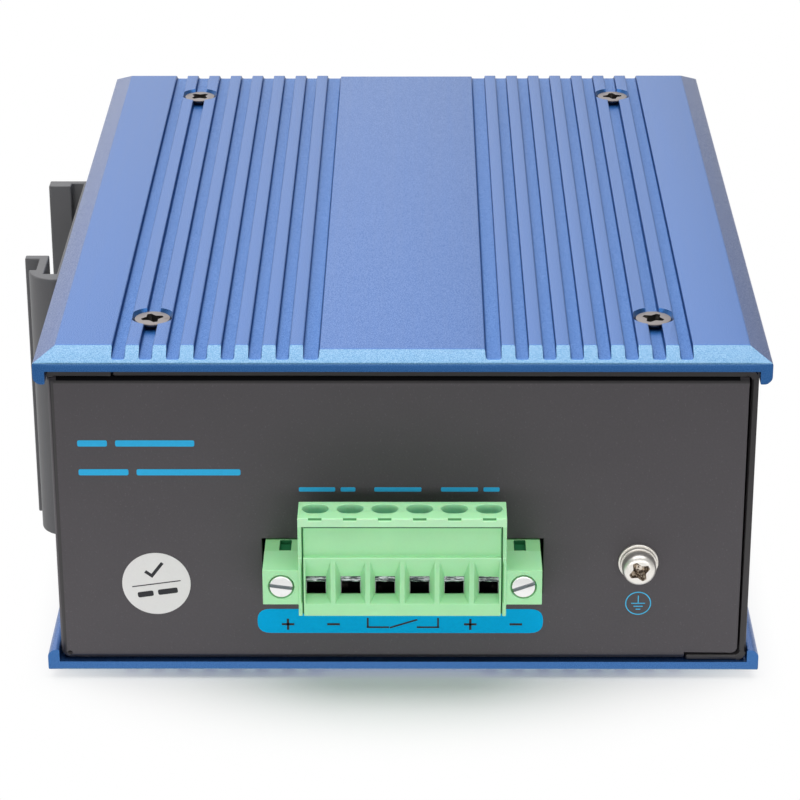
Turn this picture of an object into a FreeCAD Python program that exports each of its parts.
import FreeCAD, Part
import math
import os
import Sketcher

# A rail-mounted power over ethernet switch, lying on one of its ribbed side plates.
# Millimetres. X runs from the rail side to the port side, Y from the terminal end to
# the plain end, Z up. The origin is the middle of the face that the unit lies on.

Vector = FreeCAD.Vector
NEAR = 1e-4
PAST = 1.0
HEX = 6
FACETS = 8
SLOPE = 45

doc = FreeCAD.newDocument("rail_switch")
sheet = doc.addObject("Spreadsheet::Sheet", "Sizes")
nodes = []


class Size:
    """A number together with the sheet expression that gives it."""

    def __init__(self, value, text):
        self.value = value
        self.text = text

    def __float__(self):
        return self.value

    def __add__(self, other):
        return join(self, "+", other, self.value + float(other))

    def __radd__(self, other):
        return join(other, "+", self, float(other) + self.value)

    def __sub__(self, other):
        return join(self, "-", other, self.value - float(other))

    def __rsub__(self, other):
        return join(other, "-", self, float(other) - self.value)

    def __mul__(self, other):
        return join(self, "*", other, self.value * float(other))

    def __rmul__(self, other):
        return join(other, "*", self, float(other) * self.value)

    def __truediv__(self, other):
        return join(self, "/", other, self.value / float(other))

    def __neg__(self):
        return Size(-self.value, "(0 - %s)" % self.text)


def text_of(number):
    """The expression for a size, or for a plain number."""
    return number.text if isinstance(number, Size) else "%.9g" % number


def join(left, sign, right, value):
    """The size that two sizes give with an operator between them."""
    return Size(value, "(%s %s %s)" % (text_of(left), sign, text_of(right)))


def size(alias, value, note):
    """Put one driving dimension in the sheet and return it."""
    row = len(rows) + 1
    rows.append(alias)
    sheet.set("A%d" % row, note)
    sheet.set("B%d" % row, "%g" % value)
    sheet.setAlias("B%d" % row, alias)
    return Size(float(value), "Sizes." + alias)


def bind(thing, prop, number):
    """Tie a property to the sheet."""
    thing.setExpression(prop, text_of(number))


rows = []

# Whole unit
plate_wide = size("plate_wide", 108.0, "side plate, rail side to port side")
plate_long = size("plate_long", 135.0, "side plate, end to end")
body_tall = size("body_tall", 48.0, "steel body between the two plates")
body_wide = size("body_wide", 104.2, "steel body, rail side to port side")
end_inset = size("end_inset", 0.5, "end panel behind the ends of the plates")

# Ribbed side plates
plate_thick = size("plate_thick", 3.0, "side plate at its lands")
edge_run = size("edge_run", 3.16, "sloped edge of the plate, across")
edge_drop = size("edge_drop", 1.7, "sloped edge of the plate, down")
lip_gap = size("lip_gap", 0.15, "room between a plate's lip and the body")
lip_drop = size("lip_drop", 2.0, "lip below the plate's inner face")
lip_cut = size("lip_cut", 0.75, "sloped corner of the lip")
groove_out = size("groove_out", 41.5, "centre line of the outermost groove")
groove_pitch = size("groove_pitch", 4.0, "groove to groove")
groove_count = size("groove_count", 7, "narrow grooves on each half")
groove_wide = size("groove_wide", 2.0, "narrow groove")
groove_deep = size("groove_deep", 1.3, "groove below the lands")
groove_cut = size("groove_cut", 0.35, "sloped inside corner of a groove")
field_half = size("field_half", 14.5, "half width of the middle field with its two grooves")
field_groove = size("field_groove", 2.3, "flat foot of the groove beside the field")
field_foot = size("field_foot", 0.1, "slope from that groove up to the field")
field_deep = size("field_deep", 0.37, "middle field below the lands")

# Screws through the plates
screw_end = size("screw_end", 14.3, "plate screw from the end of its plate")
screw_room = size("screw_room", 0.25, "room round a screw in its hole")
sink_round = size("sink_round", 3.3, "countersink radius at the lands")
head_sunk = size("head_sunk", 0.55, "screw head below the lands")
seat_gap = size("seat_gap", 0.08, "room between a head and its countersink")
thread_r = size("thread_r", 1.45, "M3 thread radius")
thread_gap = size("thread_gap", 0.05, "room between a thread and its nut")
plate_screw_long = size("plate_screw_long", 6.6, "plate screw, lands to tip")
cross_long = size("cross_long", 2.9, "cross recess, tip to tip")
cross_wide = size("cross_wide", 0.75, "cross recess, width of an arm")
cross_deep = size("cross_deep", 1.1, "cross recess depth")

# Weld nuts
nut_flat = size("nut_flat", 5.5, "weld nut across its flats")
nut_tall = size("nut_tall", 2.4, "weld nut height")

# Folded steel body
steel = size("steel", 1.0, "sheet thickness")
bend = size("bend", 1.5, "outside radius of a fold")
seam_bend = size("seam_bend", 1.0, "outside radius of the rear flange's fold")
seam_gap = size("seam_gap", 0.3, "gap where two sheets meet edge to edge")
lay_gap = size("lay_gap", 0.1, "gap where one sheet lies over another")
edge_gap = size("edge_gap", 0.35, "gap round the end panel's cut edges")
raw_inset = size("raw_inset", 0.15, "raw sheet edges behind the end panel")
rear_flange = size("rear_flange", 9.5, "flange folded over from the rear wall")
port_flange = size("port_flange", 9.1, "flange folded under from the port wall")
fold_past = size("fold_past", 4.7, "folded-in flange beyond the plate screws")
fold_slit = size("fold_slit", 1.2, "slit between that flange and the rear wall")
panel_round = size("panel_round", 1.0, "cut corner of the end panel")
relief_r = size("relief_r", 0.4, "bend relief hole radius")
relief_in = size("relief_in", 1.44, "bend relief hole from the rear wall")
relief_up = size("relief_up", 1.27, "bend relief hole above the fold")

# Circuit board and its posts
board_lift = size("board_lift", 9.4, "board above the steel base")
board_thick = size("board_thick", 1.6, "circuit board")
board_side = size("board_side", 3.2, "board edge from the steel walls")
post_x = size("post_x", 36.0, "board post from the middle, across")
post_in = size("post_in", 2.8, "board post from the end of the board")
post_flat = size("post_flat", 5.5, "board post across its flats")
board_screw_head = size("board_screw_head", 5.0, "board screw head across its flats")
board_screw_tall = size("board_screw_tall", 1.9, "board screw head height")
board_screw_long = size("board_screw_long", 6.0, "board screw shank")
post_bore_deep = size("post_bore_deep", 5.5, "threaded bore in a board post")

# Pluggable screw terminal
pole_count = size("pole_count", 6, "poles")
pole_pitch = size("pole_pitch", 5.08, "pole to pole")
ear_in = size("ear_in", 2.54, "flange screw beyond the plug body")
ear_edge = size("ear_edge", 2.72, "flange beyond its screw")
header_tall = size("header_tall", 8.7, "header above the board")
header_low = size("header_low", 0.25, "header top below the top of the plug's flanges")
header_out = size("header_out", 4.0, "header in front of the end panel")
header_deep = size("header_deep", 12.0, "header, front to back")
header_wall = size("header_wall", 1.0, "header floor")
header_roof = size("header_roof", 0.6, "header roof")
header_back = size("header_back", 2.0, "header back wall")
notch_wide = size("notch_wide", 1.75, "notch in a header flange")
notch_set = size("notch_set", 0.33, "notch nearer the middle than the flange screw")
notch_front = size("notch_front", 0.55, "header flange left in front of its notch")
notch_deep = size("notch_deep", 0.8, "notch depth")
cutout_gap = size("cutout_gap", 0.55, "end panel cut-out beside and below the header")
cutout_top = size("cutout_top", 0.2, "end panel cut-out above the header")
pin_thick = size("pin_thick", 1.0, "square header pin")
pin_up = size("pin_up", 4.5, "header pin above the board")
pin_gap = size("pin_gap", 0.1, "room round a pin in the header")
pin_reach = size("pin_reach", 8.0, "header pin inside the socket")
pin_drop = size("pin_drop", 1.4, "header pin behind the back wall")
pin_tail = size("pin_tail", 2.0, "header pin below the board")
insert_wide = size("insert_wide", 2.9, "square threaded insert")
insert_gap = size("insert_gap", 0.1, "room round a threaded insert")
insert_long = size("insert_long", 5.0, "threaded insert length")

# Plug half of the terminal
plug_low = size("plug_low", 1.3, "plug bottom above the board")
plug_tall = size("plug_tall", 15.9, "plug body height")
plug_deep = size("plug_deep", 5.8, "plug body, front to back")
plug_front = size("plug_front", 10.8, "plug front before the end panel")
plug_meet = size("plug_meet", 0.1, "room between plug and header")
flange_low = size("flange_low", 3.1, "plug flange bottom above the board")
flange_set = size("flange_set", 0.2, "flange face behind the plug front")
flange_screw_up = size("flange_screw_up", 6.0, "flange screw above the board")
side_wall = size("side_wall", 0.55, "thin side wall of the plug")
side_slit = size("side_slit", 0.22, "slit beside that wall")
slit_deep = size("slit_deep", 1.1, "slit depth")
rib_wide = size("rib_wide", 0.27, "rib between the slit and the outer wire funnel")
brow_tall = size("brow_tall", 1.35, "lip along the top of the plug front")
brow_slit = size("brow_slit", 0.15, "slit under that lip")
brow_deep = size("brow_deep", 0.65, "face under the lip, set back")
ledge_up = size("ledge_up", 10.85, "top of the funnel block above the board")
funnel_wide = size("funnel_wide", 4.4, "wire funnel mouth")
funnel_low = size("funnel_low", 3.3, "funnel mouth bottom above the board")
funnel_high = size("funnel_high", 10.35, "funnel mouth top above the board")
funnel_deep = size("funnel_deep", 1.7, "funnel depth")
window_wide = size("window_wide", 2.95, "wire window")
window_low = size("window_low", 4.1, "window bottom above the board")
window_high = size("window_high", 7.0, "window top above the board")
window_wall = size("window_wall", 0.3, "wall round the window")
cell_wide = size("cell_wide", 4.1, "clamp chamber width")
cell_deep = size("cell_deep", 3.0, "clamp chamber depth")
cell_low = size("cell_low", 2.2, "clamp chamber bottom above the board")
cell_high = size("cell_high", 10.0, "clamp chamber top above the board")
driver_wide = size("driver_wide", 3.9, "screwdriver hole across")
driver_deep = size("driver_deep", 3.1, "screwdriver hole front to back")
driver_round = size("driver_round", 1.54, "rounded corner of that hole")
driver_floor = size("driver_floor", 1.4, "shoulder under the clamp screw's head")
driver_shank = size("driver_shank", 1.35, "hole for the clamp screw's shank")
dash_long = size("dash_long", 2.0, "dash notched in the top edge of the plug front")
dash_deep = size("dash_deep", 0.3, "dash depth behind the plug front")
dash_tall = size("dash_tall", 0.4, "dash height")
tongue_set = size("tongue_set", 0.34, "tongue inside the plug body's sides")
tongue_tall = size("tongue_tall", 6.3, "tongue height")
tongue_side = size("tongue_side", 0.4, "room on each side of the tongue")
tongue_end = size("tongue_end", 1.0, "tongue short of the socket's end")
slot_wide = size("slot_wide", 3.4, "contact channel width")
slot_tall = size("slot_tall", 4.0, "contact channel height")

# Clamps inside the plug
cage_side = size("cage_side", 0.15, "room round a clamp cage")
cage_wall = size("cage_wall", 0.5, "clamp cage wall")
cage_top = size("cage_top", 1.3, "threaded top of a clamp cage")
cage_open = size("cage_open", 4.6, "clamp cage opening height")
clamp_r = size("clamp_r", 1.2, "clamp screw thread radius")
clamp_head_r = size("clamp_head_r", 1.35, "clamp screw head radius")
clamp_head_tall = size("clamp_head_tall", 1.8, "clamp screw head height")
clamp_slot = size("clamp_slot", 0.5, "slot in a small screw head")
bar_thick = size("bar_thick", 1.0, "contact bar")
bar_wide = size("bar_wide", 2.5, "contact bar width")
bar_gap = size("bar_gap", 0.1, "room under a clamp screw's tip")
tine_thick = size("tine_thick", 0.4, "contact tine")
tine_gap = size("tine_gap", 0.08, "room between a tine and the pin")
tine_long = size("tine_long", 7.4, "contact tine length")
flange_head_r = size("flange_head_r", 1.72, "flange screw head radius")
flange_head_tall = size("flange_head_tall", 1.4, "flange screw head height")
flange_bore_r = size("flange_bore_r", 1.95, "recess round a flange screw's head")
flange_bore_deep = size("flange_bore_deep", 1.3, "depth of that recess")
flange_screw_r = size("flange_screw_r", 1.2, "flange screw shank radius")
flange_screw_end = size("flange_screw_end", 4.0, "flange screw inside its insert")

# Earth screw on the end panel
earth_x = size("earth_x", 35.3, "earth screw from the middle")
earth_z = size("earth_z", 16.85, "earth screw above the steel base's underside")
washer_r = size("washer_r", 3.0, "flat washer radius")
washer_thick = size("washer_thick", 0.5, "flat washer")
spring_r = size("spring_r", 2.75, "spring washer radius")
spring_thick = size("spring_thick", 0.8, "spring washer")
spring_slit = size("spring_slit", 0.5, "split in the spring washer")
washer_room = size("washer_room", 0.15, "room round a screw in a washer")
pan_r = size("pan_r", 2.55, "pan head radius")
pan_tall = size("pan_tall", 2.2, "pan head height")
pan_slope = size("pan_slope", 0.7, "sloped rim of the pan head")
earth_screw_long = size("earth_screw_long", 6.0, "earth screw shank")

# Rail clip on the rear wall
clip_long = size("clip_long", 45.2, "clip along the rail")
clip_base = size("clip_base", 3.1, "clip base")
clip_out = size("clip_out", 8.95, "clip, wall to outermost lip")
rail_wide = size("rail_wide", 35.0, "rail that the clip fits")
rail_slot = size("rail_slot", 2.05, "slot for a rail edge")
far_grip = size("far_grip", 1.3, "fixed lip over the rail edge")
far_room = size("far_room", 0.2, "rail edge to the end of the fixed slot")
far_wall = size("far_wall", 1.2, "end wall of the fixed hook")
near_grip = size("near_grip", 0.9, "springing lip over the rail edge")
near_room = size("near_room", 7.2, "rail edge to the end of the springing slot")
arm_thick = size("arm_thick", 1.45, "springing arm")
arm_lip = size("arm_lip", 1.5, "lip at the end of the arm")
arm_pocket = size("arm_pocket", 4.9, "tool pocket behind that lip")
nose_in = size("nose_in", 1.25, "rounded nose inside the outermost lip")
nose_foot = size("nose_foot", 1.15, "nose behind the slot's end, at the wall")
nose_round = size("nose_round", 4.4, "radius of the rounded nose")
clip_screw_y = size("clip_screw_y", -3.5, "clip screws from the middle")
clip_screw_z = size("clip_screw_z", 13.0, "clip screws above and below the middle")
clip_screw_long = size("clip_screw_long", 6.5, "clip screw, base face to tip")
clip_relief = size("clip_relief", 0.2, "clip base clear of the plates' lips")

# Jack block, two rows of four
jack_pitch = size("jack_pitch", 14.0, "jack to jack")
jack_count = size("jack_count", 4, "jacks in a row")
jack_cheek = size("jack_cheek", 1.2, "jack block past the outer jacks")
jack_tall = size("jack_tall", 25.4, "jack block height")
jack_deep = size("jack_deep", 26.0, "jack block depth")
jack_out = size("jack_out", 0.6, "jack block proud of the port wall")
jack_y = size("jack_y", 18.0, "middle of the jack block")
jack_wide = size("jack_wide", 11.8, "jack opening width")
jack_high = size("jack_high", 7.0, "jack opening height below its latch notch")
jack_latch = size("jack_latch", 6.2, "latch notch width")
jack_notch = size("jack_notch", 1.9, "latch notch height")
jack_depth = size("jack_depth", 14.0, "jack opening depth")
jack_edge = size("jack_edge", 1.4, "jack opening from the block's top and bottom")
shield_thick = size("shield_thick", 0.3, "jack shield sheet")
shield_gap = size("shield_gap", 0.05, "room under the shield")
shield_front = size("shield_front", 2.6, "shield behind the jack faces")
wall_gap = size("wall_gap", 0.4, "port wall cut-out round a connector")
wire_pitch = size("wire_pitch", 1.02, "contact wire to contact wire")
wire_count = size("wire_count", 8, "contact wires in a jack")
wire_thick = size("wire_thick", 0.35, "contact wire")
wire_in = size("wire_in", 3.0, "contact wires behind the jack's face")
wire_long = size("wire_long", 10.9, "contact wire length")

# Fibre cages and their connectors
cage_pitch = size("cage_pitch", 17.5, "fibre cage to fibre cage")
cage_y = size("cage_y", -43.0, "middle of the first fibre cage")
fibre_wide = size("fibre_wide", 14.4, "fibre cage width")
fibre_tall = size("fibre_tall", 9.8, "fibre cage height")
fibre_deep = size("fibre_deep", 46.0, "fibre cage depth")
fibre_wall = size("fibre_wall", 0.4, "fibre cage sheet")
fibre_out = size("fibre_out", 0.5, "fibre cage proud of the port wall")
fibre_plug_deep = size("fibre_plug_deep", 9.0, "connector inside a fibre cage, depth")
fibre_plug_wide = size("fibre_plug_wide", 11.6, "connector width")
fibre_plug_tall = size("fibre_plug_tall", 5.6, "connector height")
fibre_slot_tall = size("fibre_slot_tall", 1.4, "slot in that connector")
fibre_slot_up = size("fibre_slot_up", 2.2, "slot above the connector's foot")
fibre_slot_wide = size("fibre_slot_wide", 9.4, "slot width")
fibre_slot_deep = size("fibre_slot_deep", 6.0, "slot depth")

# Light pipes
pipe_y = size("pipe_y", -59.0, "middle of the light pipes")
pipe_pitch = size("pipe_pitch", 4.4, "light pipe to light pipe")
pipe_rows = size("pipe_rows", 4, "light pipes in a column")
pipe_first = size("pipe_first", 4.0, "lowest light pipe above the board")
pipe_r = size("pipe_r", 1.0, "light pipe, half its width across flats")
pipe_gap = size("pipe_gap", 0.2, "room round a light pipe")
pipe_out = size("pipe_out", 0.3, "light pipe proud of the port wall")
pipe_foot = size("pipe_foot", 5.0, "light pipe holder behind the port wall")
pipe_thick = size("pipe_thick", 4.0, "light pipe holder")
pipe_half = size("pipe_half", 4.2, "half width of the light pipe holder")

# Parts on the board
chip_wide = size("chip_wide", 19.0, "switching chip")
chip_tall = size("chip_tall", 1.7, "switching chip height")
chip_x = size("chip_x", -6.0, "switching chip from the middle, across")
chip_y = size("chip_y", 18.0, "switching chip from the middle, along")
sink_wide = size("sink_wide", 24.0, "heat sink on the switching chip")
sink_tall = size("sink_tall", 9.0, "heat sink height")
sink_base = size("sink_base", 2.0, "heat sink base")
sink_fin = size("sink_fin", 1.2, "heat sink fin")
sink_pitch = size("sink_pitch", 3.8, "fin to fin")
sink_fins = size("sink_fins", 7, "fins")
feed_wide = size("feed_wide", 8.0, "power feed chip")
feed_tall = size("feed_tall", 1.0, "power feed chip height")
coil_wide = size("coil_wide", 12.5, "power inductor")
coil_tall = size("coil_tall", 7.5, "power inductor height")
coil_x = size("coil_x", -38.0, "power inductors from the middle")
coil_y = size("coil_y", 2.0, "first power inductor")
coil_pitch = size("coil_pitch", 16.5, "inductor to inductor")
can_r = size("can_r", 5.0, "capacitor radius")
can_tall = size("can_tall", 16.5, "capacitor height")
can_x = size("can_x", -38.0, "capacitors from the middle")
can_y = size("can_y", -42.0, "first capacitor")
can_pitch = size("can_pitch", 12.5, "capacitor to capacitor")
magnet_long = size("magnet_long", 27.0, "port transformer length")
magnet_wide = size("magnet_wide", 11.0, "port transformer width")
magnet_tall = size("magnet_tall", 6.2, "port transformer height")
magnet_apart = size("magnet_apart", 14.85, "port transformer from the jacks' middle")
magnet_x = size("magnet_x", 13.5, "port transformers from the middle")
relay_wide = size("relay_wide", 7.6, "alarm relay width")
relay_long = size("relay_long", 15.2, "alarm relay length")
relay_tall = size("relay_tall", 10.0, "alarm relay height")
relay_x = size("relay_x", -16.0, "alarm relay from the middle")
relay_y = size("relay_y", -40.0, "alarm relay from the middle, along")
doc.recompute()

# Places that several pieces share
half = body_wide / 2
screw_x = groove_out - groove_pitch
screw_y = plate_long / 2 - screw_end
screw_hole = thread_r + screw_room
washer_bore = thread_r + washer_room
floor = plate_thick
roof = plate_thick + body_tall
top = roof + plate_thick
middle = top / 2
end = plate_long / 2 - end_inset
raw_end = end - raw_inset
fold_top = roof - steel - lay_gap
panel_right = half - steel - edge_gap
cover_foot = half - port_flange
base_right = cover_foot - seam_gap
rear_seam = rear_flange - half
cover_left = rear_seam + seam_gap
base_top = floor + steel
board_under = base_top + board_lift
board_top = board_under + board_thick
board_across = half - steel - board_side
board_along = end - steel - board_side
post_y = board_along - post_in
earth_up = floor + earth_z
plug_half = pole_pitch * pole_count / 2
tongue_half = plug_half - tongue_set
ear_x = plug_half + ear_in
ear_half = ear_x + ear_edge
notch_x = ear_x - notch_set
header_front = -end - header_out
header_end = header_front + header_deep
plug_face = -end - plug_front
plug_rear = plug_face + plug_deep
cell_front = plug_face + funnel_deep + window_wall
clamp_y = cell_front + cell_deep / 2
first_pole = -pole_pitch * (float(pole_count) - 1) / 2
pin_z = board_top + pin_up
clip_wall = -half
clip_mid_low = middle - clip_long / 2
clip_mid_high = middle + clip_long / 2
jack_face = half + jack_out
jack_half = jack_pitch * jack_count / 2 + jack_cheek
fibre_face = half + fibre_out
ZERO = Size(0.0, "0")
TWO = Size(2, "2")
THREE = Size(3, "3")


def polygon(u, v, flat, sides):
    """The corners of a regular polygon, from its middle and its width across flats."""
    reach = flat / (2 * math.cos(math.pi / sides))
    angles = [math.pi * (2 * index + 1) / sides for index in range(sides)]
    return [(u + reach * math.cos(angle), v + reach * math.sin(angle)) for angle in angles]


def bore(u, v, radius):
    """A small round hole, drawn with few faces."""
    return polygon(u, v, radius * 2, FACETS)


def rectangle(low_u, high_u, low_v, high_v, corner=None):
    """The corners of a rectangle, each with its radius where it is rounded."""
    spots = [(low_u, low_v), (high_u, low_v), (high_u, high_v), (low_u, high_v)]
    return [spot if corner is None else spot + (corner,) for spot in spots]


def cross(length, width):
    """The outline of a cross with four equal arms."""
    far = length / 2
    near = width / 2
    return [
        (near, near), (near, far), (-near, far), (-near, near), (-far, near), (-far, -near),
        (-near, -near), (-near, -far), (near, -far), (near, -near), (far, -near), (far, near),
    ]


def way(start, finish):
    """The unit step from one corner to the next, along one axis."""
    run = float(finish[0]) - float(start[0])
    rise = float(finish[1]) - float(start[1])
    reach = (run * run + rise * rise) ** 0.5
    return run / reach, rise / reach


def place_point(limits, geometry, spot, number):
    """Hold one end of a line at its two distances from the sketch's origin."""
    limits.append(("DistanceX", geometry, spot, number[0]))
    limits.append(("DistanceY", geometry, spot, number[1]))


def draw_loop(sketch, corners):
    """A closed outline. A corner with a third value is an arc of that radius."""
    lines = []
    count = len(corners)
    trimmed = []
    for index, corner in enumerate(corners):
        before = way(corners[index - 1], corner)
        after = way(corner, corners[(index + 1) % count])
        if len(corner) < 3:
            trimmed.append((corner, corner))
            continue
        radius = corner[2]
        enter = (corner[0] - radius * before[0], corner[1] - radius * before[1])
        leave = (corner[0] + radius * after[0], corner[1] + radius * after[1])
        trimmed.append((enter, leave))
    for index in range(count):
        begin = trimmed[index][1]
        finish = trimmed[(index + 1) % count][0]
        lines.append((begin, finish))
    first = sketch.GeometryCount
    sketch.addGeometry([
        Part.LineSegment(Vector(float(a[0]), float(a[1])), Vector(float(b[0]), float(b[1])))
        for a, b in lines
    ])
    limits = []
    links = []
    for index, (begin, finish) in enumerate(lines):
        line = first + index
        place_point(limits, line, 1, begin)
        following = (index + 1) % count
        corner = corners[following]
        if len(corner) < 3:
            links.append((line, 2, first + following, 1))
            continue
        place_point(limits, line, 2, finish)
        arc, turns_left = draw_arc(sketch, trimmed[following], corner, corners[index])
        links.append((line, 2, arc, 1 if turns_left else 2))
        links.append((arc, 2 if turns_left else 1, first + following, 1))
        limits.append(("Radius", arc, None, corner[2]))
    hold(sketch, limits, links)


def draw_arc(sketch, ends, corner, before):
    """A quarter arc in a square corner. Returns its number and whether it turns left."""
    enter, leave = ends
    come = way(before, corner)
    go = (float(leave[0]) - float(corner[0]), float(leave[1]) - float(corner[1]))
    centre = Vector(float(enter[0]) + go[0], float(enter[1]) + go[1])
    turns_left = come[0] * go[1] - come[1] * go[0] > 0
    begin, finish = (enter, leave) if turns_left else (leave, enter)
    circle = Part.Circle(centre, Vector(0, 0, 1), float(corner[2]))
    angles = [
        circle.parameter(Vector(float(spot[0]), float(spot[1]))) for spot in (begin, finish)
    ]
    return sketch.addGeometry(Part.ArcOfCircle(circle, *angles)), turns_left


def draw_circle(sketch, circle):
    """A circle held by its centre and radius."""
    u, v, radius = circle
    number = sketch.addGeometry(
        Part.Circle(Vector(float(u), float(v)), Vector(0, 0, 1), float(radius))
    )
    limits = [("Radius", number, None, radius)]
    place_point(limits, number, 3, (u, v))
    hold(sketch, limits, [])


def hold(sketch, limits, links):
    """Add the constraints of one outline and tie each distance to the sheet."""
    joints = [Sketcher.Constraint("Coincident", *link) for link in links]
    distances = []
    for kind, geometry, spot, number in limits:
        if spot is None:
            distances.append(Sketcher.Constraint(kind, geometry, float(number)))
        else:
            distances.append(Sketcher.Constraint(kind, -1, 1, geometry, spot, float(number)))
    numbers = sketch.addConstraint(joints + distances)[len(joints):]
    for index, limit in zip(numbers, limits):
        if isinstance(limit[3], Size):
            bind(sketch, "Constraints[%d]" % index, limit[3])


def edges_within(shape, x=None, y=None, z=None):
    """The names of the edges whose boxes lie between the limits given."""
    found = []
    for number, edge in enumerate(shape.Edges, 1):
        room = edge.BoundBox
        spans = [(x, room.XMin, room.XMax), (y, room.YMin, room.YMax), (z, room.ZMin, room.ZMax)]
        if all(
            span is None
            or (low > float(span[0]) - NEAR and high < float(span[1]) + NEAR)
            for span, low, high in spans
        ):
            found.append("Edge%d" % number)
    return found


def round_edges(shape, **limits):
    """The names of the circles among the edges between those limits."""
    return [
        name
        for name in edges_within(shape, **limits)
        if shape.getElement(name).Curve.TypeId == "Part::GeomCircle"
    ]


class Piece:
    """One sub-part, a PartDesign body that grows by prisms, turned shapes and patterns."""

    def __init__(self, name):
        self.name = name
        self.body = doc.addObject("PartDesign::Body", name)
        self.body.Label = name
        nodes.append(self.body)

    def origin(self, role):
        """The body's own origin plane or axis of that role."""
        return next(f for f in self.body.Origin.OriginFeatures if f.Role == role)

    def sketch(self, plane, offset, loops, circles):
        """A sketch on an origin plane, moved along the plane's normal."""
        made = self.body.newObject("Sketcher::SketchObject", self.name + "_sketch")
        made.AttachmentSupport = [(self.origin(plane + "_Plane"), "")]
        made.MapMode = "FlatFace"
        bind(made, "AttachmentOffset.Base.z", offset)
        for corners in loops:
            draw_loop(made, corners)
        for circle in circles:
            draw_circle(made, circle)
        return made

    def finish(self, feature):
        """Recompute and keep the feature as the body's result."""
        self.body.Tip = feature
        doc.recompute()
        return feature

    def prism(self, kind, plane, low, high, loops, circles):
        """A pad or pocket between two places along the plane's axis."""
        offset = -high if plane == "XZ" else low
        before = self.body.Shape.Volume if kind == "PartDesign::Pocket" else 0
        drawn = self.sketch(plane, offset, loops, circles)
        made = self.body.newObject(kind, self.name + "_prism")
        made.Profile = drawn
        made.Reversed = kind == "PartDesign::Pocket"
        bind(made, "Length", high - low)
        self.finish(made)
        if kind == "PartDesign::Pocket" and self.body.Shape.Volume > before - NEAR:
            raise RuntimeError("a cut in %s removes nothing" % self.name)
        return made

    def add(self, plane, low, high, loops=(), circles=()):
        """A prism added to the piece."""
        return self.prism("PartDesign::Pad", plane, low, high, loops, circles)

    def cut(self, plane, low, high, loops=(), circles=()):
        """A prism cut from the piece."""
        return self.prism("PartDesign::Pocket", plane, low, high, loops, circles)

    def taper(self, kind, high, depth, corners):
        """A pad or pocket that narrows downwards at half a right angle."""
        drawn = self.sketch("XY", high, [corners], [])
        made = self.body.newObject(kind, self.name + "_taper")
        made.Profile = drawn
        made.Reversed = kind == "PartDesign::Pad"
        made.TaperAngle = -SLOPE
        bind(made, "Length", depth)
        return self.finish(made)

    def turn(self, corners):
        """A shape turned about the local Z axis from its outline of radius and height."""
        drawn = self.sketch("XZ", ZERO, [corners], [])
        made = self.body.newObject("PartDesign::Revolution", self.name + "_turn")
        made.Profile = drawn
        made.ReferenceAxis = (drawn, ["V_Axis"])
        return self.finish(made)

    def repeat(self, features, steps):
        """Copies of features in rows: each step is an axis, a length and a count."""
        made = self.body.newObject("PartDesign::MultiTransform", self.name + "_rows")
        made.Originals = features
        rows_made = []
        for axis, length, count in steps:
            row = self.body.newObject("PartDesign::LinearPattern", self.name + "_row")
            row.Direction = (self.origin(axis + "_Axis"), [""])
            row.Reversed = float(length) < 0
            bind(row, "Length", -length if float(length) < 0 else length)
            bind(row, "Occurrences", count)
            rows_made.append(row)
        made.Transformations = rows_made
        return self.finish(made)

    def soften(self, kind, names, amount):
        """A fillet or chamfer on edges of the piece as it is now."""
        base = self.body.Tip
        made = self.body.newObject(kind, self.name + "_edges")
        made.Base = (base, names)
        bind(made, "Radius" if kind == "PartDesign::Fillet" else "Size", amount)
        return self.finish(made)

    def put(self, x, y, z, turn=None):
        """Set the piece's place in the unit."""
        if turn is not None:
            self.body.Placement = FreeCAD.Placement(Vector(), FreeCAD.Rotation(*turn))
        for axis, number in zip("xyz", (x, y, z)):
            bind(self.body, "Placement.Base." + axis, number)
        doc.recompute()


FACE_DOWN = (Vector(1, 0, 0), 180)
FACE_FRONT = (Vector(1, 0, 0), 90)
FACE_REAR_WALL = (Vector(0, 1, 0), -90)


def block(name, x, y, z):
    """A plain block piece between its limits."""
    made = Piece(name)
    made.add("XY", z[0], z[1], [rectangle(x[0], x[1], y[0], y[1])])
    return made


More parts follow.
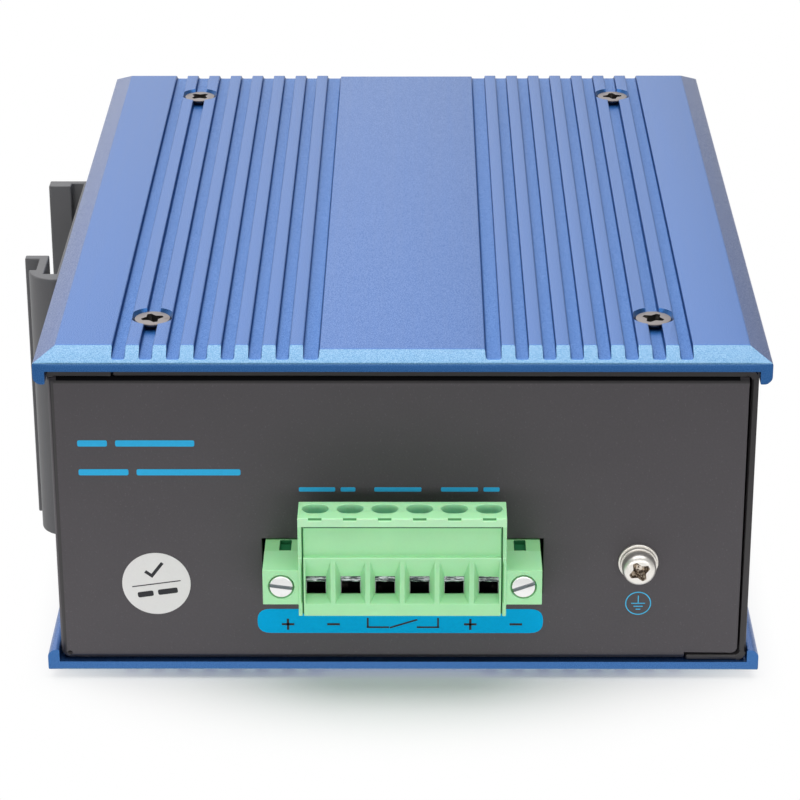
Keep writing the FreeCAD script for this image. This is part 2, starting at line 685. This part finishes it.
def side_plate(name, place, turn):
    """An extruded plate with grooves, sloped edges and a lip down each long side.

    Local Z is 0 on the face that meets the steel body.
    """
    plate = Piece(name)
    across = plate_wide / 2
    along = plate_long / 2
    inner = half + lip_gap
    plate.add("XZ", -along, along, [[
        (-across, plate_thick), (-across, lip_cut - lip_drop), (lip_cut - across, -lip_drop),
        (-inner, -lip_drop), (-inner, ZERO), (inner, ZERO), (inner, -lip_drop),
        (across - lip_cut, -lip_drop), (across, lip_cut - lip_drop), (across, plate_thick),
    ]])
    hole = plate.cut("XY", ZERO, plate_thick, [bore(-screw_x, -screw_y, screw_hole)])
    rim = polygon(-screw_x, -screw_y, sink_round * 2, FACETS * 2)
    sink = plate.taper("PartDesign::Pocket", plate_thick, sink_round - screw_hole, rim)
    plate.repeat([hole, sink], [("X", screw_x * 2, TWO), ("Y", screw_y * 2, TWO)])
    slope_foot = plate_thick - edge_drop
    for plane, edge, reach in (("XZ", across, along), ("YZ", along, across)):
        wedges = [
            [(side * edge, slope_foot), (side * (edge - edge_run), plate_thick),
             (side * edge, plate_thick)]
            for side in (1, -1)
        ]
        plate.cut(plane, -reach, reach, wedges)
    left = groove_out - groove_wide / 2
    right = groove_out + groove_wide / 2
    foot = plate_thick - groove_deep
    groove = plate.cut("XZ", -along, along, [[
        (-right, plate_thick), (-right, foot + groove_cut), (groove_cut - right, foot),
        (-left - groove_cut, foot), (-left, foot + groove_cut), (-left, plate_thick),
    ]])
    bank = groove_pitch * (float(groove_count) - 1)
    plate.repeat([groove], [
        ("X", bank, groove_count),
        ("X", groove_out * 2 - bank, TWO),
    ])
    field = plate_thick - field_deep
    near = field_half - field_groove
    far = near - field_foot
    plate.cut("XZ", -along, along, [[
        (-field_half, plate_thick), (-field_half, foot), (-near, foot), (-far, field),
        (far, field), (near, foot), (field_half, foot), (field_half, plate_thick),
    ]])
    plate.put(ZERO, ZERO, place, turn)


def countersunk(piece, length):
    """One countersunk screw, head up, with the face that it is sunk in at local Z of 0."""
    rim = sink_round - head_sunk - seat_gap
    neck = thread_r - rim - head_sunk
    corners = polygon(ZERO, ZERO, rim * 2, FACETS * 2)
    head = piece.taper("PartDesign::Pad", -head_sunk, rim - thread_r, corners)
    shank = piece.add("XY", -length, neck, [polygon(ZERO, ZERO, thread_r * 2, FACETS)])
    return [head, shank]


def plate_screws(name, place, turn):
    """The four screws that hold one side plate."""
    screws = Piece(name)
    made = countersunk(screws, plate_screw_long)
    screws.repeat(made, [("X", screw_x * 2, TWO), ("Y", screw_y * 2, TWO)])
    screws.put(-screw_x, -screw_y if turn is None else screw_y, place, turn)


def weld_nut(piece):
    """One hexagon nut under a sheet whose outer face is at local Z of 0."""
    return piece.add("XY", -steel - nut_tall, -steel, [
        polygon(ZERO, ZERO, nut_flat, HEX), bore(ZERO, ZERO, thread_r + thread_gap),
    ])


def plate_nuts(name, place, turn):
    """The four weld nuts that one side plate's screws go into."""
    nuts = Piece(name)
    made = weld_nut(nuts)
    nuts.repeat([made], [("X", screw_x * 2, TWO), ("Y", screw_y * 2, TWO)])
    nuts.put(-screw_x, -screw_y if turn is None else screw_y, place, turn)


def chassis_tray():
    """The folded tray: base, rear wall, two end walls and their folded-in flanges."""
    tray = Piece("chassis_tray")
    tray.add("XY", floor, fold_top, [rectangle(-half, panel_right, -end, end)])
    shape = tray.body.Shape
    rear = (-half, -half)
    folds = edges_within(shape, x=rear, z=(floor, floor))
    for side in (-end, end):
        line = (side, side)
        folds += edges_within(shape, x=rear, y=line)
        folds += edges_within(shape, y=line, z=(floor, floor))
        folds += edges_within(shape, y=line, z=(fold_top, fold_top))
    tray.soften("PartDesign::Fillet", folds, bend)
    base = tray.body.Tip
    open_face = next(
        "Face%d" % number
        for number, face in enumerate(base.Shape.Faces, 1)
        if face.BoundBox.XMin > float(panel_right) - NEAR
    )
    shell = tray.body.newObject("PartDesign::Thickness", "chassis_tray_shell")
    shell.Base = (base, [open_face])
    shell.Reversed = True
    bind(shell, "Value", steel)
    tray.finish(shell)
    inside = steel - half
    slit = inside + fold_slit
    lip = screw_y - fold_past
    corner = end - bend
    tray.cut("XY", fold_top - steel - lay_gap, fold_top, [
        [(inside, -corner), (slit, -corner), (slit, -lip), (panel_right, -lip),
         (panel_right, lip), (slit, lip), (slit, corner), (inside, corner)],
    ])
    tray.add("XZ", -raw_end, raw_end, [[
        (-half, fold_top), (-half, roof, seam_bend), (rear_seam, roof),
        (rear_seam, roof - steel), (inside, roof - steel), (inside, fold_top),
    ]])
    over_foot = base_top + edge_gap
    tray.cut("XZ", -end, end, [rectangle(base_right, panel_right, floor, over_foot)])
    corners = edges_within(
        tray.body.Shape, x=(panel_right, panel_right), z=(over_foot, over_foot)
    )
    tray.soften("PartDesign::Fillet", corners, panel_round)
    socket = ear_half + cutout_gap
    socket_top = board_top + header_tall - header_low + cutout_top
    tray.cut(
        "XZ", -end, steel - end,
        [rectangle(-socket, socket, board_top - cutout_gap, socket_top)],
        [(earth_x, earth_up, screw_hole), (relief_in - half, floor + relief_up, relief_r)],
    )
    spots = [bore(x, y, screw_hole) for x in (-screw_x, screw_x) for y in (-screw_y, screw_y)]
    tray.cut("XY", floor, base_top, spots)
    tray.cut("XY", fold_top - steel, fold_top, spots)
    tray.cut("YZ", -half, inside, [
        bore(clip_screw_y, middle + side * clip_screw_z, screw_hole) for side in (-1, 1)
    ])


def cover_shell():
    """The folded cover: top sheet, port wall and the flange under it."""
    cover = Piece("cover_shell")
    inside = half - steel
    inner_bend = bend - steel
    cover.add("XZ", -raw_end, raw_end, [[
        (cover_left, roof), (half, roof, bend), (half, floor, bend), (cover_foot, floor),
        (cover_foot, base_top), (inside, base_top, inner_bend),
        (inside, roof - steel, inner_bend), (cover_left, roof - steel),
    ]])
    openings = [rectangle(
        jack_y - jack_half - wall_gap, jack_y + jack_half + wall_gap,
        board_top - wall_gap, board_top + jack_tall + wall_gap,
    )]
    for index in range(2):
        centre = cage_y + cage_pitch * index
        openings.append(rectangle(
            centre - fibre_wide / 2 - wall_gap, centre + fibre_wide / 2 + wall_gap,
            board_top - wall_gap, board_top + fibre_tall + wall_gap,
        ))
    lights = [
        bore(pipe_y, board_top + pipe_first + pipe_pitch * row, pipe_r + pipe_gap)
        for row in range(int(float(pipe_rows)))
    ]
    cover.cut("YZ", inside, half, openings + lights)
    spots = [bore(x, y, screw_hole) for x in (-screw_x, screw_x) for y in (-screw_y, screw_y)]
    cover.cut("XY", roof - steel, roof, spots)


def rail_clip():
    """The one-piece clip: a fixed hook, a springing hook and a base that is screwed on."""
    clip = Piece("rail_clip")
    edge = rail_wide / 2
    base = -half - clip_base
    inner = base - rail_slot
    outer = -half - clip_out
    far_lip = edge - far_grip
    far_slot = edge + far_room
    far_end = far_slot + far_wall
    near_lip = near_grip - edge
    near_slot = -edge - near_room
    arm = inner - arm_thick
    lip_back = near_lip - arm_lip
    pocket = lip_back - arm_pocket
    nose = outer + nose_in
    foot = near_slot - nose_foot
    corners = [
        (clip_wall, far_end), (outer, far_end), (outer, far_lip), (inner, far_lip),
        (inner, far_slot), (base, far_slot), (base, near_slot), (inner, near_slot),
        (inner, near_lip), (outer, near_lip), (outer, lip_back), (arm, lip_back),
        (arm, pocket), (nose, pocket),
    ]
    drawn = clip.sketch("XY", clip_mid_low, [], [])
    last = len(corners)
    spots = [Vector(float(u), float(v)) for u, v in corners + [(clip_wall, foot)]]
    drawn.addGeometry([
        Part.LineSegment(spots[index], spots[index + 1]) for index in range(last - 1)
    ])
    closing = drawn.addGeometry(Part.LineSegment(spots[last], spots[0]))
    chord = spots[last] - spots[last - 1]
    across = Vector(chord.y, -chord.x).normalize()
    if across.y > 0:
        across = -across
    bulge = float(nose_round) - (float(nose_round) ** 2 - (chord.Length / 2) ** 2) ** 0.5
    peak = (spots[last] + spots[last - 1]) * 0.5 + across * bulge
    curve = drawn.addGeometry(Part.Arc(spots[last - 1], peak, spots[last]))
    start_first = drawn.Geometry[curve].StartPoint.isEqual(spots[last - 1], NEAR)
    limits = [("Radius", curve, None, nose_round)]
    for index, corner in enumerate(corners[:-1]):
        place_point(limits, index, 1, corner)
    place_point(limits, last - 2, 2, corners[-1])
    place_point(limits, closing, 1, (clip_wall, foot))
    links = [(index, 2, index + 1, 1) for index in range(last - 2)]
    links.append((last - 2, 2, curve, 1 if start_first else 2))
    links.append((curve, 2 if start_first else 1, closing, 1))
    links.append((closing, 2, 0, 1))
    hold(drawn, limits, links)
    solid = clip.body.newObject("PartDesign::Pad", "rail_clip_length")
    solid.Profile = drawn
    bind(solid, "Length", clip_long)
    clip.finish(solid)
    beyond_lip = -plate_wide / 2 - clip_relief
    reach = plate_thick + lip_drop + clip_relief
    clip.cut("XZ", foot - nose_round, far_end, [
        rectangle(beyond_lip, clip_wall, clip_mid_low, reach),
        rectangle(beyond_lip, clip_wall, top - reach, clip_mid_high),
    ])
    spots = [(clip_screw_y, middle - clip_screw_z, screw_hole),
             (clip_screw_y, middle + clip_screw_z, screw_hole)]
    clip.cut("YZ", base, clip_wall, circles=spots)
    rims = round_edges(clip.body.Shape, x=(base, base))
    clip.soften("PartDesign::Chamfer", rims, sink_round - screw_hole)


def clip_fixings():
    """The clip's two screws and the weld nuts inside the rear wall."""
    spread = clip_screw_z * 2
    screws = Piece("rail_clip_screws")
    made = countersunk(screws, clip_screw_long)
    screws.repeat(made, [("X", spread, TWO)])
    screws.put(-half - clip_base, clip_screw_y, middle - clip_screw_z, FACE_REAR_WALL)
    nuts = Piece("rail_clip_nuts")
    nut = weld_nut(nuts)
    nuts.repeat([nut], [("X", spread, TWO)])
    nuts.put(-half, clip_screw_y, middle - clip_screw_z, FACE_REAR_WALL)


def main_board():
    """The circuit board, its four posts and their screws."""
    board = Piece("main_board")
    pins = [
        bore(first_pole + pole_pitch * index, header_end + pin_drop - pin_thick / 2, pin_thick)
        for index in range(int(float(pole_count)))
    ]
    thread = thread_r + thread_gap
    posts = [bore(x, y, thread) for x in (-post_x, post_x) for y in (-post_y, post_y)]
    board.add("XY", board_under, board_top, [
        rectangle(-board_across, board_across, -board_along, board_along)
    ])
    board.cut("XY", board_under, board_top, pins + posts)
    corners = [("X", post_x * 2, TWO), ("Y", post_y * 2, TWO)]
    pillars = Piece("board_posts")
    pillar = pillars.add("XY", ZERO, board_lift, [polygon(ZERO, ZERO, post_flat, HEX)])
    hollow = pillars.cut("XY", board_lift - post_bore_deep, board_lift, [bore(ZERO, ZERO, thread)])
    pillars.repeat([pillar, hollow], corners)
    pillars.put(-post_x, -post_y, base_top)
    screws = Piece("board_screws")
    head = screws.add("XY", ZERO, board_screw_tall, [polygon(ZERO, ZERO, board_screw_head, HEX)])
    shank = screws.add("XY", -board_screw_long, ZERO, [
        polygon(ZERO, ZERO, thread_r * 2, FACETS)
    ])
    screws.repeat([head, shank], corners)
    screws.put(-post_x, -post_y, board_top)


def terminal_header():
    """The fixed half of the terminal, soldered to the board and passing through the panel."""
    header = Piece("terminal_header")
    high = board_top + header_tall - header_low
    socket_end = header_end - header_back
    header.add("XZ", header_front, header_end, [rectangle(-ear_half, ear_half, board_top, high)])
    room = tongue_half + tongue_side
    header.cut("XZ", header_front, socket_end, [
        rectangle(-room, room, board_top + header_wall, high - header_roof)
    ])
    notch_start = header_front + notch_front
    header.cut("XY", high - notch_deep, high, [
        rectangle(side * notch_x - notch_wide / 2, side * notch_x + notch_wide / 2, notch_start, -end)
        for side in (-1, 1)
    ])
    screw_z = board_top + flange_screw_up
    header.cut("XZ", header_front, header_front + insert_long, [
        polygon(side * ear_x, screw_z, insert_wide + insert_gap * 2, 4) for side in (-1, 1)
    ])
    hole = pin_thick / 2 + pin_gap
    slot = header.cut("XZ", socket_end, header_end, [
        rectangle(first_pole - hole, first_pole + hole, pin_z - hole, pin_z + hole)
    ])
    header.repeat([slot], [("X", pole_pitch * (float(pole_count) - 1), pole_count)])
    inserts = Piece("header_inserts")
    insert = inserts.add("XY", -insert_long, ZERO, [
        polygon(ZERO, ZERO, insert_wide, 4), bore(ZERO, ZERO, flange_screw_r + thread_gap),
    ])
    inserts.repeat([insert], [("X", ear_x * 2, TWO)])
    inserts.put(-ear_x, header_front, screw_z, FACE_FRONT)


def header_pins():
    """The bent square pins, one to a pole."""
    low = pin_z - pin_thick / 2
    high = pin_z + pin_thick / 2
    front = header_end - header_back - pin_reach
    back = header_end + pin_drop
    for index in range(int(float(pole_count))):
        x = first_pole + pole_pitch * index
        pin = Piece("header_pin_%d" % (index + 1))
        pin.add("YZ", x - pin_thick / 2, x + pin_thick / 2, [[
            (front, low), (back - pin_thick, low), (back - pin_thick, board_under - pin_tail),
            (back, board_under - pin_tail), (back, high), (front, high),
        ]])


def terminal_plug():
    """The moulded plug: thin side walls, wire funnels, driver holes and screw flanges."""
    plug = Piece("terminal_plug")
    low = board_top + plug_low
    high = low + plug_tall
    ledge = board_top + ledge_up
    flange_high = board_top + header_tall
    flange_rear = header_front - plug_meet
    plug.add("XZ", plug_face, plug_rear, [rectangle(-plug_half, plug_half, low, high)])
    plug.add("XZ", plug_face + flange_set, flange_rear, [
        rectangle(-ear_half, ear_half, board_top + flange_low, flange_high)
    ])
    socket_end = header_end - header_back
    tongue_rear = socket_end - tongue_end
    plug.add("XZ", plug_rear, tongue_rear, [
        rectangle(-tongue_half, tongue_half, low, low + tongue_tall)
    ])
    wall = plug_half - side_wall
    plug.cut("XZ", plug_face, plug_face + brow_deep, [
        rectangle(-wall, wall, ledge, high - brow_tall)
    ])
    plug.cut("XZ", plug_face, plug_face + slit_deep, [
        rectangle(side * wall - side_slit * (1 + side) / 2,
                  side * wall + side_slit * (1 - side) / 2, low, high - brow_tall)
        for side in (-1, 1)
    ])
    plug.cut("XZ", plug_face, plug_face + slit_deep, [
        rectangle(-wall, wall, high - brow_tall - brow_slit, high - brow_tall)
    ])
    funnel = wire_funnel(plug)
    x = first_pole
    window_front = plug_face + funnel_deep
    window = plug.cut("XZ", window_front, cell_front, [rectangle(
        x - window_wide / 2, x + window_wide / 2, board_top + window_low, board_top + window_high
    )])
    cell_top = board_top + cell_high
    cell = plug.cut("XZ", cell_front, cell_front + cell_deep, [rectangle(
        x - cell_wide / 2, x + cell_wide / 2, board_top + cell_low, cell_top
    )])
    bar_top = board_top + window_high
    channel = plug.cut("XZ", cell_front + cell_deep, tongue_rear, [rectangle(
        x - slot_wide / 2, x + slot_wide / 2, bar_top - slot_tall, bar_top
    )])
    driver = plug.cut("XY", cell_top + driver_floor, high, [rectangle(
        x - driver_wide / 2, x + driver_wide / 2,
        clamp_y - driver_deep / 2, clamp_y + driver_deep / 2, driver_round,
    )])
    shank = plug.cut("XY", cell_top, cell_top + driver_floor, [bore(x, clamp_y, driver_shank)])
    dash = plug.cut("XZ", plug_face, plug_face + dash_deep, [rectangle(
        x - dash_long / 2, x + dash_long / 2, high - dash_tall, high
    )])
    plug.repeat(
        [funnel, window, cell, channel, driver, shank, dash],
        [("X", pole_pitch * (float(pole_count) - 1), pole_count)],
    )
    rib = wall - side_slit
    plug.add("XZ", plug_face, window_front, [
        rectangle(-rib, rib_wide - rib, low, ledge), rectangle(rib - rib_wide, rib, low, ledge)
    ])
    screw_z = board_top + flange_screw_up
    bore_end = plug_face + flange_set + flange_bore_deep
    plug.cut("XZ", plug_face + flange_set, bore_end, circles=[
        (side * ear_x, screw_z, flange_bore_r) for side in (-1, 1)
    ])
    plug.cut("XZ", bore_end, flange_rear, [
        bore(side * ear_x, screw_z, flange_screw_r + thread_gap * 2) for side in (-1, 1)
    ])


def wire_funnel(plug):
    """The tapered mouth of the first pole, wide in front and as narrow as its window behind."""
    funnel = plug.body.newObject("PartDesign::SubtractiveWedge", "wire_funnel")
    limits = {
        "Ymin": plug_face, "Ymax": plug_face + funnel_deep,
        "Xmin": first_pole - funnel_wide / 2, "Xmax": first_pole + funnel_wide / 2,
        "Zmin": board_top + funnel_low, "Zmax": board_top + funnel_high,
        "X2min": first_pole - window_wide / 2, "X2max": first_pole + window_wide / 2,
        "Z2min": board_top + window_low, "Z2max": board_top + window_high,
    }
    for prop, number in limits.items():
        setattr(funnel, prop, float(number))
        bind(funnel, prop, number)
    before = plug.body.Shape.Volume
    plug.finish(funnel)
    if plug.body.Shape.Volume > before - NEAR:
        raise RuntimeError("the wire funnel removes nothing")
    return funnel


def wire_clamps():
    """The rising cages, the contacts that run through them and the clamp screws."""
    bar_top = board_top + window_high
    bar_low = bar_top - bar_thick
    outside = cell_wide / 2 - cage_side
    inside = outside - cage_wall
    cage_low = board_top + cell_low + cage_side
    room_low = cage_low + cage_wall
    room_high = room_low + cage_open
    front = cell_front + cage_side
    back = cell_front + cell_deep - cage_side
    tongue_front = cell_front + cell_deep
    for index in range(int(float(pole_count))):
        x = first_pole + pole_pitch * index
        cage = Piece("clamp_cage_%d" % (index + 1))
        cage.add("XZ", front, back, [rectangle(
            x - outside, x + outside, cage_low, room_high + cage_top
        )])
        cage.cut("XZ", front, back, [rectangle(x - inside, x + inside, room_low, room_high)])
        cage.cut("XY", room_high, room_high + cage_top, [bore(x, clamp_y, clamp_r + thread_gap)])
        contact = Piece("plug_contact_%d" % (index + 1))
        contact.add("XZ", front, tongue_front, [
            rectangle(x - bar_wide / 2, x + bar_wide / 2, bar_low, bar_top)
        ])
        grip = pin_thick / 2 + tine_gap
        contact.add("XZ", tongue_front, tongue_front + tine_long, [
            rectangle(x + side * (grip + tine_thick / 2) - tine_thick / 2,
                      x + side * (grip + tine_thick / 2) + tine_thick / 2,
                      pin_z - pin_thick / 2, bar_top)
            for side in (-1, 1)
        ])
    screws = Piece("clamp_screws")
    tip = bar_top + bar_gap
    seat = board_top + cell_high + driver_floor
    head = screws.add("XY", ZERO, clamp_head_tall, [
        polygon(ZERO, ZERO, clamp_head_r * 2, FACETS)
    ])
    slot = screws.cut("XY", clamp_head_tall / 2, clamp_head_tall, [
        rectangle(-clamp_head_r - PAST, clamp_head_r + PAST, -clamp_slot / 2, clamp_slot / 2)
    ])
    shank = screws.add("XY", tip - seat, ZERO, [polygon(ZERO, ZERO, clamp_r * 2, FACETS)])
    screws.repeat(
        [head, slot, shank], [("X", pole_pitch * (float(pole_count) - 1), pole_count)]
    )
    screws.put(first_pole, clamp_y, seat)


def flange_screws():
    """The two slotted screws that hold the plug to its header."""
    screws = Piece("plug_flange_screws")
    flange_face = plug_face + flange_set
    shank = -(header_front - flange_face + flange_screw_end)
    head_low = -flange_bore_deep
    head_high = head_low + flange_head_tall
    head = screws.add("XY", head_low, head_high, circles=[(ZERO, ZERO, flange_head_r)])
    slot = screws.cut("XY", head_high - clamp_slot, head_high, [
        rectangle(-flange_head_r - PAST, flange_head_r + PAST, -clamp_slot / 2, clamp_slot / 2)
    ])
    shaft = screws.add("XY", shank, head_low, [polygon(ZERO, ZERO, flange_screw_r * 2, FACETS)])
    screws.repeat([head, slot, shaft], [("X", ear_x * 2, TWO)])
    screws.put(-ear_x, flange_face, board_top + flange_screw_up, FACE_FRONT)


def earth_screw():
    """The earth screw with its two washers and the weld nut behind the end panel."""
    washer = Piece("earth_flat_washer")
    washer.turn([
        (washer_bore, ZERO), (washer_r, ZERO), (washer_r, washer_thick), (washer_bore, washer_thick),
    ])
    washer.put(earth_x, -end, earth_up, FACE_FRONT)
    spring = Piece("earth_spring_washer")
    spring.turn([
        (washer_bore, ZERO), (spring_r, ZERO), (spring_r, spring_thick), (washer_bore, spring_thick),
    ])
    spring.cut("XY", ZERO, spring_thick, [
        rectangle(washer_bore / 2, spring_r + PAST, -spring_slit / 2, spring_slit / 2)
    ])
    spring.put(earth_x, -end - washer_thick, earth_up, FACE_FRONT)
    screw = Piece("earth_screw")
    screw.turn([
        (ZERO, ZERO), (pan_r, ZERO), (pan_r, pan_tall - pan_slope), (pan_r - pan_slope, pan_tall),
        (ZERO, pan_tall),
    ])
    screw.add("XY", -earth_screw_long, ZERO, [polygon(ZERO, ZERO, thread_r * 2, FACETS)])
    screw.cut("XY", pan_tall - cross_deep, pan_tall, [cross(cross_long, cross_wide)])
    screw.put(earth_x, -end - washer_thick - spring_thick, earth_up, FACE_FRONT)
    nut = Piece("earth_weld_nut")
    weld_nut(nut)
    nut.put(earth_x, -end, earth_up, FACE_FRONT)


def jack_block():
    """The double row of jacks: housing, shield and the contact wires of each jack."""
    housing = Piece("jack_housing")
    back = jack_face - jack_deep
    low = jack_y - jack_half
    high = jack_y + jack_half
    ceiling = board_top + jack_tall
    housing.add("YZ", back, jack_face, [rectangle(low, high, board_top, ceiling)])
    first = jack_y - jack_pitch * (float(jack_count) - 1) / 2
    cut_back = jack_face - jack_depth
    for step, base in ((1, board_top + jack_edge), (-1, ceiling - jack_edge)):
        notch = base + step * jack_notch
        far = notch + step * jack_high
        row = housing.cut("YZ", cut_back, jack_face, [[
            (first - jack_latch / 2, base), (first + jack_latch / 2, base),
            (first + jack_latch / 2, notch), (first + jack_wide / 2, notch),
            (first + jack_wide / 2, far), (first - jack_wide / 2, far),
            (first - jack_wide / 2, notch), (first - jack_latch / 2, notch),
        ]])
        housing.repeat([row], [("Y", jack_pitch * (float(jack_count) - 1), jack_count)])
    shield = Piece("jack_shield")
    skin = shield_gap + shield_thick
    shield.add("YZ", back - skin, jack_face - shield_front, [
        rectangle(low - skin, high + skin, board_top, ceiling + skin)
    ])
    shield.cut("YZ", back - shield_gap, jack_face - shield_front, [
        rectangle(low - shield_gap, high + shield_gap, board_top, ceiling + shield_gap)
    ])
    rows_of = (("lower", 1, board_top + jack_edge), ("upper", -1, ceiling - jack_edge))
    for name, step, base in rows_of:
        far = base + step * (jack_notch + jack_high)
        wires = Piece("jack_contacts_" + name)
        start = first - wire_pitch * (float(wire_count) - 1) / 2
        bars = sorted((far - step * wire_thick, far - step * wire_thick * 3), key=float)
        wire = wires.add("YZ", cut_back, cut_back + wire_long, [
            rectangle(start - wire_thick / 2, start + wire_thick / 2, bars[0], bars[1])
        ])
        wires.repeat([wire], [
            ("Y", wire_pitch * (float(wire_count) - 1), wire_count),
            ("Y", jack_pitch * (float(jack_count) - 1), jack_count),
        ])


def fibre_cages():
    """The two sheet metal cages for fibre modules, each with its connector."""
    for index in range(2):
        centre = cage_y + cage_pitch * index
        side = fibre_wide / 2
        back = fibre_face - fibre_deep
        cage = Piece("fibre_cage_%d" % (index + 1))
        cage.add("YZ", back, fibre_face, [
            rectangle(centre - side, centre + side, board_top, board_top + fibre_tall)
        ])
        cage.cut("YZ", back + fibre_wall, fibre_face, [rectangle(
            centre - side + fibre_wall, centre + side - fibre_wall,
            board_top + fibre_wall, board_top + fibre_tall - fibre_wall,
        )])
        plug = Piece("fibre_connector_%d" % (index + 1))
        foot = board_top + fibre_wall
        start = back + fibre_wall
        plug.add("YZ", start, start + fibre_plug_deep, [rectangle(
            centre - fibre_plug_wide / 2, centre + fibre_plug_wide / 2,
            foot, foot + fibre_plug_tall,
        )])
        plug.cut("YZ", start + fibre_plug_deep - fibre_slot_deep, start + fibre_plug_deep, [
            rectangle(centre - fibre_slot_wide / 2, centre + fibre_slot_wide / 2,
                      foot + fibre_slot_up, foot + fibre_slot_up + fibre_slot_tall)
        ])


def light_pipes():
    """The clear moulding that carries the board's lights to the port wall."""
    pipes = Piece("light_pipes")
    back = half - pipe_foot - pipe_thick
    front = back + pipe_thick
    lowest = board_top + pipe_first
    height = pipe_first + pipe_pitch * (float(pipe_rows) - 1) + pipe_r * 2
    pipes.add("YZ", back, front, [
        rectangle(pipe_y - pipe_half, pipe_y + pipe_half, board_top, board_top + height)
    ])
    pipe = pipes.add("YZ", front, half + pipe_out, [
        polygon(pipe_y, lowest, pipe_r * 2, FACETS)
    ])
    pipes.repeat([pipe], [("Z", pipe_pitch * (float(pipe_rows) - 1), pipe_rows)])


def board_parts():
    """The larger parts that stand on the board."""
    chip = chip_wide / 2
    chip_high = board_top + chip_tall
    block("switch_chip", (chip_x - chip, chip_x + chip), (chip_y - chip, chip_y + chip),
          (board_top, chip_high))
    sink = Piece("chip_heat_sink")
    side = sink_wide / 2
    sink.add("XY", chip_high, chip_high + sink_base, [
        rectangle(chip_x - side, chip_x + side, chip_y - side, chip_y + side)
    ])
    fin = sink.add("XY", chip_high + sink_base, chip_high + sink_tall, [
        rectangle(chip_x - side, chip_x - side + sink_fin, chip_y - side, chip_y + side)
    ])
    sink.repeat([fin], [("X", sink_pitch * (float(sink_fins) - 1), sink_fins)])
    for index in range(2):
        feed = feed_wide / 2
        y = chip_y + (index * 2 - 1) * (chip_wide + feed_wide)
        block("feed_chip_%d" % (index + 1), (chip_x - feed, chip_x + feed),
              (y - feed, y + feed), (board_top, board_top + feed_tall))
        y = jack_y + (index * 2 - 1) * magnet_apart
        block("port_transformer_%d" % (index + 1),
              (magnet_x - magnet_wide / 2, magnet_x + magnet_wide / 2),
              (y - magnet_long / 2, y + magnet_long / 2), (board_top, board_top + magnet_tall))
    coils = Piece("power_inductors")
    coil = coils.add("XY", board_top, board_top + coil_tall, [
        polygon(coil_x, coil_y, coil_wide, FACETS)
    ])
    coils.repeat([coil], [("Y", coil_pitch * 2, THREE)])
    cans = Piece("power_capacitors")
    can = cans.add("XY", board_top, board_top + can_tall, [
        polygon(can_x, can_y, can_r * 2, FACETS * 2)
    ])
    cans.repeat([can], [("Y", can_pitch * 2, THREE)])
    block("alarm_relay", (relay_x - relay_wide / 2, relay_x + relay_wide / 2),
          (relay_y - relay_long / 2, relay_y + relay_long / 2),
          (board_top, board_top + relay_tall))


def write_parts():
    """Check every object of the document, then write one file for each piece."""
    doc.recompute()
    for thing in doc.Objects:
        if "Invalid" in thing.State or "Error" in thing.State:
            raise RuntimeError("%s did not build" % thing.Label)
    os.makedirs("parts", exist_ok=True)
    for node in nodes:
        if node.Shape.isNull() or not node.Shape.isValid() or not node.Shape.Solids:
            raise RuntimeError("%s has no sound solid" % node.Label)
    for node in nodes:
        node.Shape.exportStep("parts/%s.step" % node.Label)
        print("%s: %d solids, %.1f mm3" % (node.Label, len(node.Shape.Solids), node.Shape.Volume))


side_plate("upper_side_plate", roof, None)
side_plate("lower_side_plate", floor, FACE_DOWN)
plate_screws("upper_plate_screws", top, None)
plate_screws("lower_plate_screws", ZERO, FACE_DOWN)
plate_nuts("upper_plate_nuts", fold_top, None)
plate_nuts("lower_plate_nuts", floor, FACE_DOWN)
chassis_tray()
cover_shell()
rail_clip()
clip_fixings()
main_board()
terminal_header()
header_pins()
terminal_plug()
wire_clamps()
flange_screws()
earth_screw()
jack_block()
fibre_cages()
light_pipes()
board_parts()
write_parts()
